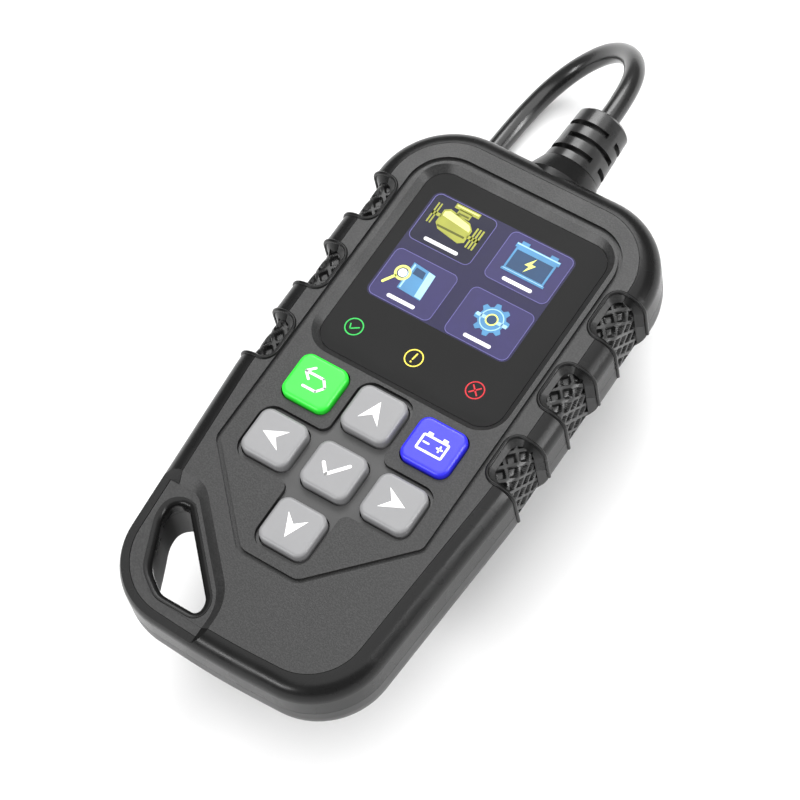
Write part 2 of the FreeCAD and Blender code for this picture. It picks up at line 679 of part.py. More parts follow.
def main_board():
    low = up("board_up")
    board = inner_space(v("board_inset"), low, low + v("board_thick"))
    board = board.cut(corner_block(v("eye_wall") + 0.4, low - 1, low + 5))
    cuts = [Part.makeBox(v("notch_width"), OPEN, 6.0, V(-v("notch_width") / 2, v("notch_y"), low - 2))]
    cuts += [post(v("screw_radius") + 0.4, x, y, low - 1, low + 5) for x, y in SCREWS]
    return board.cut(cuts)


shaped("main_board", main_board())


def lcd_ribbon():
    """A flat ribbon from the glass's lower edge down to its connector."""
    thick, wide = v("ribbon_thick"), v("ribbon_width")
    left = v("ribbon_x") - wide / 2
    edge = v("screen_y") - v("glass_length") / 2
    top, low = up("glass_up") + 0.3, up("board_up") + v("board_thick") + 0.4
    run, reach = v("ribbon_run"), v("ribbon_reach")
    upper = Part.makeBox(wide, run, thick, V(left, edge - run, top))
    drop = Part.makeBox(wide, thick, top - low + thick, V(left, edge - run, low))
    lower = Part.makeBox(wide, reach - run, thick, V(left, edge - reach, low))
    return upper.fuse([drop, lower]).removeSplitter()


shaped("lcd_ribbon", lcd_ribbon())
keep("ribbon_connector", block("ribbon_connector_box", S + "socket_width", S + "socket_length",
                               S + "socket_thick", S + "ribbon_x", S + "socket_y", BOARD_TOP))

GLASS_TOP = f"{REAR} + {S}glass_up + {S}glass_thick"
gasket_height = f"{S}ceiling_up - {S}glass_up - {S}glass_thick"
gasket_out = block("gasket_sheet", S + "gasket_out_width", S + "gasket_out_length", gasket_height, "0",
                   S + "screen_y", GLASS_TOP)
gasket_in = block("gasket_hole", S + "gasket_in_width", S + "gasket_in_length", f"3 * ({gasket_height})", "0",
                  S + "screen_y", f"{GLASS_TOP} - ({gasket_height})")
keep("lcd_gasket", minus("gasket_ring", gasket_out, gasket_in))

lamps, guides = [], []
guide_height = f"{S}face_up - {S}lens_sink - {S}lens_thick - {S}guide_up - {S}guide_gap"
for i in (-1, 0, 1):
    x = f"{S}lamp_pitch * {i}"
    lamps.append(block(f"lamp_{i + 2}", S + "lamp_width", S + "lamp_length", S + "lamp_thick", x,
                       S + "lamp_y", BOARD_TOP))
    guides.append(rod(f"guide_{i + 2}", S + "lamp_radius", guide_height, x, S + "lamp_y",
                      f"{REAR} + {S}guide_up"))
keep("status_leds", group("status_led_group", lamps))
keep("light_guides", group("light_guide_group", guides))


def under_board(depth):
    """The Z of something that reaches this far below the board."""
    return f"{BOARD_LOW} - {S}{depth}"


keep("microcontroller", block("microcontroller_box", S + "chip_side", S + "chip_side", S + "chip_thick", "0",
                              S + "chip_y", under_board("chip_thick")))
keep("bus_transceivers", group("bus_transceiver_group", [
    block(f"transceiver_{side}", S + "driver_width", S + "driver_length", S + "driver_thick",
          f"{sign}{S}driver_x", S + "driver_y", under_board("driver_thick"))
    for side, sign in (("left", "-"), ("right", ""))
]))
keep("capacitors", group("capacitor_group", [
    rod(f"capacitor_{i + 1}", S + "can_radius", S + "can_height", f"{S}can_x + {i} * {S}can_pitch",
        S + "can_y", under_board("can_height"))
    for i in (0, 1)
]))
sounder = rod("buzzer_can", S + "buzzer_radius", S + "buzzer_height", S + "buzzer_x", S + "buzzer_y",
              under_board("buzzer_height"))
sound_hole = rod("buzzer_mouth", S + "buzzer_hole", S + "buzzer_height / 2", S + "buzzer_x", S + "buzzer_y",
                 f"{under_board('buzzer_height')} - 1")
keep("buzzer", minus("buzzer_shell", sounder, sound_hole))
header_out = block("header_box", S + "header_width", S + "header_length", S + "header_height", "0",
                   S + "header_y", under_board("header_height"))
header_in = block("header_hollow", S + "header_in_width", S + "header_length", S + "header_in_height", "0",
                  f"{S}header_y + {S}header_back", f"{under_board('header_height')} + {S}header_wall")
keep("lead_header", minus("header_shell", header_out, header_in))
keep("crimp_housing", block("crimp_housing_box", S + "crimp_width", S + "crimp_length", S + "crimp_height",
                            "0", S + "crimp_y", under_board("crimp_drop")))

WIRES = 4
wires = []
for i in range(WIRES):
    wire = doc.addObject("Part::Cylinder", f"inner_wire_{i + 1}")
    wire.Placement = FreeCAD.Placement(V(), FreeCAD.Rotation(V(1, 0, 0), -90))
    bind(wire, "Radius", S + "wire_radius")
    bind(wire, "Height", f"{S}boot_flange_y - {S}crimp_y - {S}crimp_length / 2")
    place(wire, f"{S}wire_pitch * ({i} - {(WIRES - 1) / 2})", f"{S}crimp_y + {S}crimp_length / 2",
          under_board("wire_drop"))
    wires.append(wire)
keep("inner_wires", group("inner_wire_group", wires))

screws = []
for i, (x, y) in enumerate(SCREWS, 1):
    shank = rod(f"screw_shank_{i}", S + "screw_radius", S + "shank_length", f"{x}", f"{y}",
                f"{REAR} + {S}shank_up")
    head = rod(f"screw_head_{i}", S + "screw_head", S + "head_thick", f"{x}", f"{y}", f"{REAR} + {S}head_up")
    drive = rod(f"screw_drive_{i}", S + "drive_depth", f"{S}head_up + {S}drive_depth", f"{x}", f"{y}", REAR)
    screws.append(minus(f"screw_{i}", joined(f"screw_blank_{i}", [shank, head]), drive))
keep("case_screws", group("case_screw_group", screws))

# ---- strain relief and lead ----


def spun(label, profile, z):
    """A body turned about its own Y axis from (radius, y) points, placed at a height."""
    body = new_body(label)
    sketch = new_sketch(body, label + "_profile", "0")
    points = [V(r, y, 0) for r, y in profile]
    for i, point in enumerate(points):
        sketch.addGeometry(Part.LineSegment(point, points[(i + 1) % len(points)]), False)
    turned = body.newObject("PartDesign::Revolution", label + "_turned")
    turned.Profile = sketch
    turned.ReferenceAxis = (sketch, ["V_Axis"])
    turned.Angle = 360
    place(body, "0", "0", z)
    return body


def ring_slot(y, first, last):
    """A slot cut round part of the strain relief, between two angles from +X towards +Z."""
    outer, inner = v("boot_radius") + 1, v("boot_radius") - v("slot_depth")
    wide = v("slot_wide")
    span = last - first
    ring = Part.makeCylinder(outer, wide, V(0, y - wide / 2, 0), V(0, 1, 0), span)
    ring = ring.cut(along_y(inner, 0, 0, y - wide, y + wide))
    # the cylinder's own start is +Z and it turns towards +X
    ring.rotate(V(0, 0, 0), V(0, 1, 0), 90 - last)
    return ring


LONG_SLOTS = [(49, 169), (196, 240), (262, 386)]
SHORT_SLOTS = [(4, 121), (150, 211), (238, 340)]


def strain_relief():
    """The boot on the lead, drawn round the Y axis: a flange inside the wall, a neck and a slotted end."""
    r, tip, neck, seat = v("boot_radius"), v("boot_tip_radius"), v("boot_neck"), v("boot_seat")
    start, end, chamfer = v("boot_start"), v("boot_end"), v("boot_chamfer")
    flange, inside = v("boot_flange"), v("boot_flange_y")
    shoulder, seat_y = v("boot_shoulder_y"), v("boot_seat_y")
    profile = [
        (0, inside), (flange, inside), (flange, shoulder), (neck, shoulder), (neck, seat_y), (seat, seat_y),
        (seat, start), (r, start + 0.1), (tip, end - chamfer), (tip - chamfer, end), (0, end),
    ]
    face = Part.Face(Part.makePolygon([V(x, y, 0) for x, y in profile] + [V(0, inside, 0)]))
    boot = face.revolve(V(0, 0, 0), V(0, 1, 0), 360)
    slots = []
    for i, row in enumerate([LONG_SLOTS, SHORT_SLOTS, LONG_SLOTS]):
        slots += [ring_slot(v("slot_first") + i * v("slot_pitch"), a, b) for a, b in row]
    return boot.cut(slots)


shaped("strain_relief", strain_relief(), SPLIT)
collar_in, collar_out = v("boot_seat") + v("rim_gap"), v("collar_radius")
keep("lead_collar", spun("lead_collar", [
    (collar_in, v("collar_seat_y")), (collar_out, v("collar_seat_y")), (collar_out, v("collar_cone_y")),
    (v("collar_end_radius"), v("collar_end_y")), (collar_in, v("collar_end_y")),
], f"{REAR} + {S}split_up"))

# The lead leaves the strain relief, bends over in one wide half-turn and comes back along the floor, under
# the housing, to a coil of stacked turns; from the coil's top turn it drops to the plug.
LEAD_FLOOR = FLOOR + v("lead_radius")
COIL_LEFT = v("coil_x") - v("coil_radius")
COIL_TOP = LEAD_FLOOR + 2 * v("lead_radius") * (v("coil_layers") - 1)
PLUG_Z = FLOOR + v("plug_half_height")
LEAD_RUN = [
    (0, v("boot_end"), SPLIT), (0.2, 93.6, SPLIT), (-5.2, 103.4, -6.0), (-14.2, 107.8, -14.6),
    (-23.0, 103.6, -23.2), (-28.2, 93.0, -28.1), (-29.6, 71.0, LEAD_FLOOR), (-30.0, 48.0, LEAD_FLOOR),
    (-29.7, 25.0, LEAD_FLOOR), (-29.0, 3.0, LEAD_FLOOR), (COIL_LEFT, v("coil_y"), LEAD_FLOOR),
]
LEAD_TAIL = [
    (9.5, 0.5, COIL_TOP), (6.2, 3.1, COIL_TOP - 0.4), (3.4, 6.1, COIL_TOP - 1.6), (1.2, 9.5, COIL_TOP - 3.3),
    (-0.4, 13.2, COIL_TOP - 5.0), (-1.3, 17.1, COIL_TOP - 6.1), (v("plug_x"), v("plug_entry"), PLUG_Z),
]


def tube(label, route):
    """A round tube along straight runs joined by the largest tangent arcs that the runs allow."""
    radius = v("lead_radius")
    points = [V(*p) for p in route]
    edges, radii, here = [], [], points[0]
    for before, corner, after in zip(points, points[1:], points[2:]):
        back, ahead = before - corner, after - corner
        reach = 0.45 * min(back.Length, ahead.Length)
        half = (math.pi - back.getAngle(ahead)) / 2
        back.normalize()
        ahead.normalize()
        bend = reach / math.tan(half)
        radii.append(round(bend, 1))
        start, end = corner + back * reach, corner + ahead * reach
        middle = corner + (back + ahead).normalize() * (bend / math.cos(half) - bend)
        edges.append(Part.LineSegment(here, start).toShape())
        edges.append(Part.Arc(start, middle, end).toShape())
        here = end
    edges.append(Part.LineSegment(here, points[-1]).toShape())
    path = Part.Wire(edges)
    section = Part.Wire(Part.Circle(points[0], points[1] - points[0], radius).toShape())
    solid = path.makePipeShell([section], True, False)
    expected = math.pi * radius ** 2 * path.Length
    ratio = solid.Volume / expected
    print(f"{label}: length {path.Length:.1f}, bend radii {radii}, volume / expected {ratio:.4f}")
    return solid, path.Length


run_solid, run_length = tube("lead_run", LEAD_RUN)
tail_solid, tail_length = tube("lead_tail", LEAD_TAIL)
coil_length = v("coil_turns") * 2 * math.pi * v("coil_radius")
print(f"lead: {run_length + tail_length + coil_length:.0f} mm, {coil_length:.0f} mm of it in the coil")


def coil_and_tie():
    """The coil's outer form as one ring, and the tie round its section on the side away from the plug."""
    r, cable, thick, wide = v("coil_radius"), v("lead_radius"), v("tie_thick"), v("tie_width")
    x, y = v("coil_x"), v("coil_y")
    high = FLOOR + 2 * cable * v("coil_layers")
    ring = post(r + cable, x, y, FLOOR, high).cut(post(r - cable, x, y, FLOOR - 1, high + 1))
    near, far = y - r - cable, y - r + cable
    band = Part.makeBox(wide, far - near + 2 * thick, high - FLOOR, V(x - wide / 2, near - thick, FLOOR))
    hole = Part.makeBox(wide + 2, far - near, high - FLOOR - 2 * thick,
                        V(x - wide / 2 - 1, near, FLOOR + thick))
    tie = band.cut(hole)
    return ring.cut(tie), tie


coil, tie = coil_and_tie()
shaped("lead_coil", coil)
shaped("cable_tie", tie)
exit_block = along_y(v("boot_radius"), 0, SPLIT, v("boot_flange_y"), v("boot_end"))
shaped("lead_run", run_solid.cut(coil).cut(exit_block))

# ---- plug: two shell halves, shroud, pins, strain relief and screws ----


PLUG_FRONT = v("plug_back") + v("plug_length")
PLUG_SCREWS = [v("plug_x") - v("plug_screw_x"), v("plug_x") + v("plug_screw_x")]
PLUG_SCREW_Y = v("plug_back") + v("plug_screw_inset")


def plug_block(width, length, radius, low, high):
    y = v("plug_back") + v("plug_length") / 2
    return rounded_block(width, length, radius, v("plug_x"), y, low, high)


def plug_half(top):
    """One half of the plug's shell, parted at the lead's axis."""
    half, wall = v("plug_half_height"), v("plug_wall")
    low, high = (PLUG_Z + 0.05, PLUG_Z + half) if top else (PLUG_Z - half, PLUG_Z - 0.05)
    outer_z = high if top else low
    shell = plug_block(v("plug_width"), v("plug_length"), v("plug_corner"), low, high)
    shell = shell.makeFillet(v("plug_edge"), edges_at(shell, outer_z))
    inner_low, inner_high = (low - 1, high - wall) if top else (low + wall, high + 1)
    cuts = [plug_block(v("plug_width") - 2 * wall, v("plug_length") - 2 * wall, v("plug_corner") - wall,
                       inner_low, inner_high)]
    cuts.append(shroud_prism(v("fit_gap"), PLUG_FRONT - v("shroud_grip") - 0.4, PLUG_FRONT + 1))
    cuts.append(along_y(v("plug_neck") + v("fit_gap"), v("plug_x"), PLUG_Z, v("plug_back") - 1,
                        v("plug_back") + 4))
    if not top:
        head_seat = low + v("plug_counterbore_deep")
        for x in PLUG_SCREWS:
            cuts.append(post(v("plug_bore"), x, PLUG_SCREW_Y, low - 1, high + 1))
            cuts.append(post(v("plug_counterbore"), x, PLUG_SCREW_Y, low - 1, head_seat))
    return shell.cut(cuts)


def shroud_prism(grow, near, far, wall=0.0):
    """The shroud's D-shaped section, wider at the top row of pins, as a prism along Y."""
    wide, narrow = v("shroud_width") / 2 - wall + grow, v("shroud_narrow") / 2 - wall + grow
    tall = v("shroud_height") / 2 - wall + grow
    wire = rounded_wire([(wide, tall, 1.5), (narrow, -tall, 1.5), (-narrow, -tall, 1.5), (-wide, tall, 1.5)])
    solid = prism(wire, 0, far - near)
    # drawn in XY, stood up so that its thickness runs along Y
    solid.rotate(V(0, 0, 0), V(1, 0, 0), 90)
    solid.translate(V(v("plug_x"), far, PLUG_Z))
    return solid


def plug_shroud():
    front = PLUG_FRONT + v("shroud_length")
    back = PLUG_FRONT - v("shroud_grip")
    shroud = shroud_prism(0, back, front)
    hollow = shroud_prism(0, PLUG_FRONT - 0.4, front + 1, v("shroud_wall"))
    return shroud.cut(hollow)


def plug_pins():
    """Sixteen flat blades in two rows, from the solder tails to the tips."""
    tip, tail = PLUG_FRONT + v("pin_length"), PLUG_FRONT - 5.5
    blades = []
    for row in (-1, 1):
        for i in range(8):
            x = v("plug_x") + (i - 3.5) * v("pin_pitch")
            z = PLUG_Z + row * v("pin_row")
            blades.append(Part.makeBox(v("pin_width"), tip - tail, v("pin_thick"),
                                       V(x - v("pin_width") / 2, tail, z - v("pin_thick") / 2)))
    return blades


BLADES = plug_pins()


def plug_boot():
    """The tapered relief on the lead, its neck through the shell and the flange inside."""
    x, back, entry, gap = v("plug_x"), v("plug_back"), v("plug_entry"), v("fit_gap")
    cone = Part.makeCone(v("cone_front_radius"), v("cone_back_radius"), back - gap - entry,
                         V(x, back - gap, PLUG_Z), V(0, -1, 0))
    shoulder = back + v("plug_neck_reach")
    neck = along_y(v("plug_neck"), x, PLUG_Z, back - 2 * gap, shoulder)
    flange = along_y(v("plug_flange"), x, PLUG_Z, shoulder - gap, back + v("plug_flange_reach"))
    return cone.fuse([neck, flange]).removeSplitter()


def plug_screw(x):
    low, high = FLOOR + v("plug_head_low"), FLOOR + v("plug_head_high")
    shank = post(v("plug_shank"), x, PLUG_SCREW_Y, low + 0.4, PLUG_Z + v("plug_shank_rise"))
    head = post(v("plug_head"), x, PLUG_SCREW_Y, low, high)
    return shank.fuse(head).removeSplitter()


shaped("plug_shell_upper", plug_half(True))
shaped("plug_shell_lower", plug_half(False))
shaped("plug_shroud", plug_shroud().cut(BLADES))
shaped("plug_pins", Part.makeCompound(BLADES))
plug_relief = plug_boot()
shaped("plug_boot", plug_relief)
shaped("lead_tail", tail_solid.cut(coil).cut(plug_relief))
shaped("plug_screws", Part.makeCompound([plug_screw(x) for x in PLUG_SCREWS]))

# ---- check and write ----

doc.recompute()
faults = [o.Name for o in doc.Objects if any(word in ("Invalid", "Error") for word in o.State)]
for part in parts:
    if part.Shape.isNull() or not part.Shape.isValid():
        faults.append(part.Label)
if faults:
    raise SystemExit(f"not built: {faults}")

os.makedirs("parts", exist_ok=True)
for part in parts:
    shape = part.Shape
    part_box = shape.BoundBox
    print(f"{part.Label:20s} {len(shape.Solids)} solid(s) {shape.Volume:9.1f} mm3 "
          f"z {part_box.ZMin:.2f} to {part_box.ZMax:.2f}")
    shape.exportStep(f"parts/{part.Label}.step")
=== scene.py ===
import math

import bmesh
import bpy
from mathutils import Matrix, Vector


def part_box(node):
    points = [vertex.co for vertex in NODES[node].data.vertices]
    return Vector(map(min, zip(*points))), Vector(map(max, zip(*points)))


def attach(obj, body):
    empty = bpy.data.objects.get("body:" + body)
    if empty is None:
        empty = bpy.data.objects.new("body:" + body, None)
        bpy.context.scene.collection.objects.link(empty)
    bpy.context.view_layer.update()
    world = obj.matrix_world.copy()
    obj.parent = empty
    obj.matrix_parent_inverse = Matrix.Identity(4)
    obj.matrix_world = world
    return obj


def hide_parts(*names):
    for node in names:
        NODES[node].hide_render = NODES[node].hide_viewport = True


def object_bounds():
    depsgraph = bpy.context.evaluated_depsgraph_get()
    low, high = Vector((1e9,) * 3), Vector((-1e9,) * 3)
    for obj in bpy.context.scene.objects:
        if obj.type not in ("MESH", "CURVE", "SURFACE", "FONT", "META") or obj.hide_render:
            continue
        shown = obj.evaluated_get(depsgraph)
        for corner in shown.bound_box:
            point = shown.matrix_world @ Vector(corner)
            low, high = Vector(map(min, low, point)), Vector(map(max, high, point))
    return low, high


# A palm-size code reader lying on its coiled lead.
# Lengths are in millimetres times MM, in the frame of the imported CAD.

MM = 0.001
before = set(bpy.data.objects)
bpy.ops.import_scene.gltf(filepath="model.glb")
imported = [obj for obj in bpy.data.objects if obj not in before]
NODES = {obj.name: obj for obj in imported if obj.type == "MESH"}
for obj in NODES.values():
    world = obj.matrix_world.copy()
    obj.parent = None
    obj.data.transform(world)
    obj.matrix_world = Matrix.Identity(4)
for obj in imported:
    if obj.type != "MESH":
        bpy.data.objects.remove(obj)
CAD_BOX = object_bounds()
SCENE = bpy.context.scene
HOUSING = "housing"


def mm(*numbers):
    return Vector(numbers) * MM


def box_mm(node):
    """A CAD node's lowest and highest corners in millimetres."""
    low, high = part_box(node)
    return low / MM, high / MM


def smooth(t):
    """0 to 1 with a gentle start and end."""
    t = max(0.0, min(1.0, t))
    return t * t * (3 - 2 * t)


# ---- camera ----

CAMERA_AT = mm(216.9, -198.9, 541.1)
AZIMUTH, ELEVATION, ROLL = math.radians(46.97), math.radians(61.14), math.radians(-15.08)
LENS_MM = 135


def make_camera():
    back = Vector((math.sin(AZIMUTH) * math.cos(ELEVATION), -math.cos(AZIMUTH) * math.cos(ELEVATION),
                   math.sin(ELEVATION)))
    level = Vector((math.cos(AZIMUTH), math.sin(AZIMUTH), 0))
    right = level * math.cos(ROLL) + back.cross(level) * math.sin(ROLL)
    camera = bpy.data.objects.new("camera", bpy.data.cameras.new("camera"))
    camera.data.lens = LENS_MM
    camera.data.clip_start = 0.01
    camera.matrix_world = Matrix((right, back.cross(right), back)).transposed().to_4x4()
    camera.location = CAMERA_AT
    SCENE.collection.objects.link(camera)
    SCENE.camera = camera


make_camera()

# ---- materials ----


def grey(level):
    return (level, level, level)


def shader(name):
    """A new material's nodes, its links and its principled shader."""
    made = bpy.data.materials.new(name)
    made.use_nodes = True
    nodes = made.node_tree.nodes
    return made, nodes, made.node_tree.links, nodes["Principled BSDF"]


def noise(nodes, links, coords, size, detail=3.0, rough=0.55):
    """Noise whose features are about size millimetres."""
    node = nodes.new("ShaderNodeTexNoise")
    node.inputs["Scale"].default_value = 1 / (size * MM)
    node.inputs["Detail"].default_value = detail
    node.inputs["Roughness"].default_value = rough
    links.new(coords, node.inputs["Vector"])
    return node.outputs["Fac"]


def remap(nodes, links, value, low, high, start=0.3, end=0.7):
    node = nodes.new("ShaderNodeMapRange")
    node.inputs["From Min"].default_value = start
    node.inputs["From Max"].default_value = end
    node.inputs["To Min"].default_value = low
    node.inputs["To Max"].default_value = high
    links.new(value, node.inputs["Value"])
    return node.outputs["Result"]


def blend(nodes, links, value, first, second):
    """A colour between two, by value."""
    node = nodes.new("ShaderNodeMix")
    node.data_type = "RGBA"
    links.new(value, node.inputs["Factor"])
    for socket, colour in ((node.inputs[6], first), (node.inputs[7], second)):
        if isinstance(colour, tuple):
            socket.default_value = (*colour, 1)
        else:
            links.new(colour, socket)
    return node.outputs[2]


def bump(nodes, links, height, strength, depth, under=None):
    node = nodes.new("ShaderNodeBump")
    node.inputs["Strength"].default_value = strength
    node.inputs["Distance"].default_value = depth * MM
    links.new(height, node.inputs["Height"])
    if under is not None:
        links.new(under, node.inputs["Normal"])
    return node.outputs["Normal"]


def moulded(name, colour, rough, mottle=0.10, mottle_size=9.0, grain=0.25, grain_size=0.30, depth=0.02,
            speckle=0.0, spread=0.05, metal=0.0, coat=0.0, coat_rough=0.10, specular=0.5, glow=0.0):
    """Moulded plastic or rubber: cloudy tone, fine grain in colour and relief, uneven gloss."""
    made, nodes, links, surface = shader(name)
    coords = nodes.new("ShaderNodeTexCoord").outputs["Object"]
    cloud = noise(nodes, links, coords, mottle_size)
    fine = noise(nodes, links, coords, grain_size, detail=2.0)
    tone = blend(nodes, links, remap(nodes, links, cloud, 0, 1), tuple(c * (1 - mottle) for c in colour),
                 tuple(min(1.0, c * (1 + mottle)) for c in colour))
    if speckle:
        lift = remap(nodes, links, fine, 0, 1, 0.42, 0.62)
        darker = blend(nodes, links, cloud, tuple(c * (1 - speckle) for c in colour),
                       tuple(c * (1 - 0.6 * speckle) for c in colour))
        tone = blend(nodes, links, lift, darker, tone)
    links.new(tone, surface.inputs["Base Color"])
    links.new(remap(nodes, links, cloud, rough - spread, rough + spread), surface.inputs["Roughness"])
    links.new(bump(nodes, links, fine, grain, depth), surface.inputs["Normal"])
    surface.inputs["Metallic"].default_value = metal
    surface.inputs["Coat Weight"].default_value = coat
    surface.inputs["Coat Roughness"].default_value = coat_rough
    surface.inputs["Specular IOR Level"].default_value = specular
    if glow:
        surface.inputs["Emission Color"].default_value = (*colour, 1)
        surface.inputs["Emission Strength"].default_value = glow
    return made


def brushed(name, colour, rough=0.3, size=0.08):
    """Metal with fine turning marks round Z."""
    made, nodes, links, surface = shader(name)
    coords = nodes.new("ShaderNodeTexCoord").outputs["Object"]
    stretch = nodes.new("ShaderNodeMapping")
    stretch.inputs["Scale"].default_value = (1, 0.15, 1)
    links.new(coords, stretch.inputs["Vector"])
    streak = noise(nodes, links, stretch.outputs["Vector"], size, detail=4.0)
    tone = blend(nodes, links, streak, tuple(c * 0.8 for c in colour), colour)
    links.new(tone, surface.inputs["Base Color"])
    links.new(remap(nodes, links, streak, rough - 0.1, rough + 0.12), surface.inputs["Roughness"])
    links.new(bump(nodes, links, streak, 0.2, 0.01), surface.inputs["Normal"])
    surface.inputs["Metallic"].default_value = 1.0
    return made


FACE = moulded("face_plastic", grey(0.032), 0.38, mottle=0.06, grain=0.7, grain_size=0.36, depth=0.045,
               speckle=0.5, specular=0.34)
BUMPER = moulded("bumper_plastic", grey(0.007), 0.27, mottle=0.10, grain=0.30, grain_size=0.25, depth=0.010,
                 spread=0.04, specular=0.20)
COVER = moulded("cover_plastic", grey(0.010), 0.40, grain=0.35, grain_size=0.28, depth=0.02, speckle=0.2)
GRIP = moulded("grip_rubber", grey(0.010), 0.28, grain=0.25, grain_size=0.25, depth=0.015, specular=0.40)
KEY_GREY = moulded("key_grey", (0.24, 0.24, 0.245), 0.38, mottle=0.03, grain=0.10, grain_size=0.25,
                   depth=0.006)
KEY_GREEN = moulded("key_green", (0.030, 0.78, 0.045), 0.34, mottle=0.03, grain=0.10, grain_size=0.25,
                    depth=0.006)
KEY_BLUE = moulded("key_blue", (0.030, 0.028, 0.78), 0.34, mottle=0.03, grain=0.10, grain_size=0.25,
                   depth=0.006)
# white key print with a faint painted glow: emission 0.1, though the keys have no light inside
LEGEND_PAINTED_GLOW = moulded("legend_white", grey(0.88), 0.40, mottle=0.02, grain=0.08, depth=0.004, glow=0.1)
LENS = moulded("lens_smoked", grey(0.016), 0.50, mottle=0.03, mottle_size=20.0, grain=0.02, grain_size=1.5,
               depth=0.004, specular=0.08)
PLATE = moulded("plate_plastic", grey(0.042), 0.40, mottle=0.04, grain=0.12, grain_size=0.3, depth=0.008)
MEMBRANE = moulded("membrane_rubber", (0.30, 0.31, 0.33), 0.6)
FOAM = moulded("foam_black", grey(0.04), 0.9, grain=0.8, grain_size=0.6, depth=0.15)
SCREEN = moulded("screen_glass", (0.02, 0.02, 0.05), 0.08, grain=0.02, coat=0.5)
DIFFUSER = moulded("diffuser_white", (0.85, 0.86, 0.88), 0.5)
LABEL = moulded("label_film", (0.50, 0.51, 0.53), 0.42, mottle=0.04, grain=0.1)
LABEL_INK = moulded("label_ink", grey(0.05), 0.5, mottle=0.05, grain=0.1)
BOARD = moulded("board_green", (0.012, 0.11, 0.045), 0.38, mottle=0.15, mottle_size=4.0, coat=0.3)
CHIP = moulded("chip_epoxy", grey(0.022), 0.5, grain=0.4, grain_size=0.15, depth=0.02)
IVORY = moulded("ivory_plastic", (0.70, 0.66, 0.54), 0.45)
STEEL = brushed("steel_plain", (0.62, 0.62, 0.64))
LED = moulded("led_clear", (0.85, 0.85, 0.76), 0.15, grain=0.05, coat=0.4)
GUIDE = moulded("light_guide", (0.80, 0.82, 0.85), 0.12, grain=0.05, coat=0.4)
FLEX = moulded("flex_film", (0.42, 0.19, 0.03), 0.35)
WIRE = moulded("wire_red", (0.55, 0.04, 0.03), 0.4)
LEAD = moulded("lead_jacket", grey(0.008), 0.25, mottle=0.12, mottle_size=14.0, grain=0.15, grain_size=0.5,
               depth=0.01, coat=0.2, coat_rough=0.2)
BOOT = moulded("boot_rubber", grey(0.011), 0.30, grain=0.2, grain_size=0.35, depth=0.015, coat=0.1)
PLUG = moulded("plug_plastic", grey(0.024), 0.45, grain=0.45, grain_size=0.3, depth=0.03, speckle=0.25)
BRASS = brushed("pin_brass", (0.80, 0.60, 0.28), rough=0.22)
TIE = moulded("tie_nylon", grey(0.018), 0.5)

NODE_MATERIALS = {
    FACE: ["front_shell"], BUMPER: ["bumper_ring", "lead_collar", "eye_rim"], COVER: ["rear_cover"],
    GRIP: ["grip_insert_left", "grip_insert_right"],
    KEY_GREY: ["key_ok", "key_up", "key_down", "key_left", "key_right"],
    KEY_GREEN: ["key_exit"], KEY_BLUE: ["key_battery"], LENS: ["lens_window"], PLATE: ["keypad_plate"],
    MEMBRANE: ["keymat_web"], FOAM: ["lcd_foam", "lcd_gasket"], SCREEN: ["lcd_glass"],
    DIFFUSER: ["lcd_backlight"], LABEL: ["rear_label"], BOARD: ["main_board"],
    CHIP: ["microcontroller", "bus_transceivers", "capacitors", "buzzer"],
    IVORY: ["ribbon_connector", "lead_header", "crimp_housing"],
    STEEL: ["tact_switches", "case_screws", "plug_screws"], LED: ["status_leds"], GUIDE: ["light_guides"],
    FLEX: ["lcd_ribbon"], WIRE: ["inner_wires"], LEAD: ["lead_run", "lead_tail", "lead_coil"],
    BOOT: ["strain_relief", "plug_boot"], PLUG: ["plug_shell_upper", "plug_shell_lower", "plug_shroud"],
    BRASS: ["plug_pins"], TIE: ["cable_tie"],
}
for material, names in NODE_MATERIALS.items():
    for name in names:
        slots = NODES[name].material_slots
        for slot in slots:
            slot.material = material

# ---- mesh helpers ----


def mesh_piece(name, points, faces, material, body, smooth=False):
    """A closed mesh from points in millimetres, with its faces turned outwards."""
    mesh = bpy.data.meshes.new(name)
    mesh.from_pydata([mm(*point) for point in points], [], faces)
    work = bmesh.new()
    work.from_mesh(mesh)
    bmesh.ops.recalc_face_normals(work, faces=work.faces)
    work.to_mesh(mesh)
    work.free()
    mesh.materials.append(material)
    if smooth:
        mesh.shade_smooth()
    piece = bpy.data.objects.new(name, mesh)
    SCENE.collection.objects.link(piece)
    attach(piece, body)
    return piece


def flat_piece(name, shapes, low, thick, material, body):
    """Upright prisms on outlines; a pair of outlines is a ring. One object."""
    points, faces = [], []
    for shape in shapes:
        start = len(points)
        if isinstance(shape, tuple):
            outer, inner = shape
            n = len(outer)
            for outline in (outer, inner):
                points += [(x, y, low) for x, y in outline] + [(x, y, low + thick) for x, y in outline]
            for i in range(n):
                j = (i + 1) % n
                for a, b in ((0, n), (n, 3 * n), (3 * n, 2 * n), (2 * n, 0)):
                    faces.append((start + a + i, start + a + j, start + b + j, start + b + i))
        else:
            n = len(shape)
            points += [(x, y, low) for x, y in shape] + [(x, y, low + thick) for x, y in shape]
            faces.append(tuple(start + i for i in reversed(range(n))))
            faces.append(tuple(start + n + i for i in range(n)))
            for i in range(n):
                j = (i + 1) % n
                faces.append((start + i, start + j, start + n + j, start + n + i))
    return mesh_piece(name, points, faces, material, body)


def turned(outline, angle, x=0.0, y=0.0):
    """An outline turned about its origin and moved to a place."""
    c, s = math.cos(angle), math.sin(angle)
    return [(x + c * px - s * py, y + s * px + c * py) for px, py in outline]


def disc(radius, x=0.0, y=0.0, steps=40):
    return [(x + radius * math.cos(2 * math.pi * i / steps), y + radius * math.sin(2 * math.pi * i / steps))
            for i in range(steps)]


def ring(radius, stroke, x=0.0, y=0.0):
    return disc(radius + stroke / 2, x, y), disc(radius - stroke / 2, x, y)


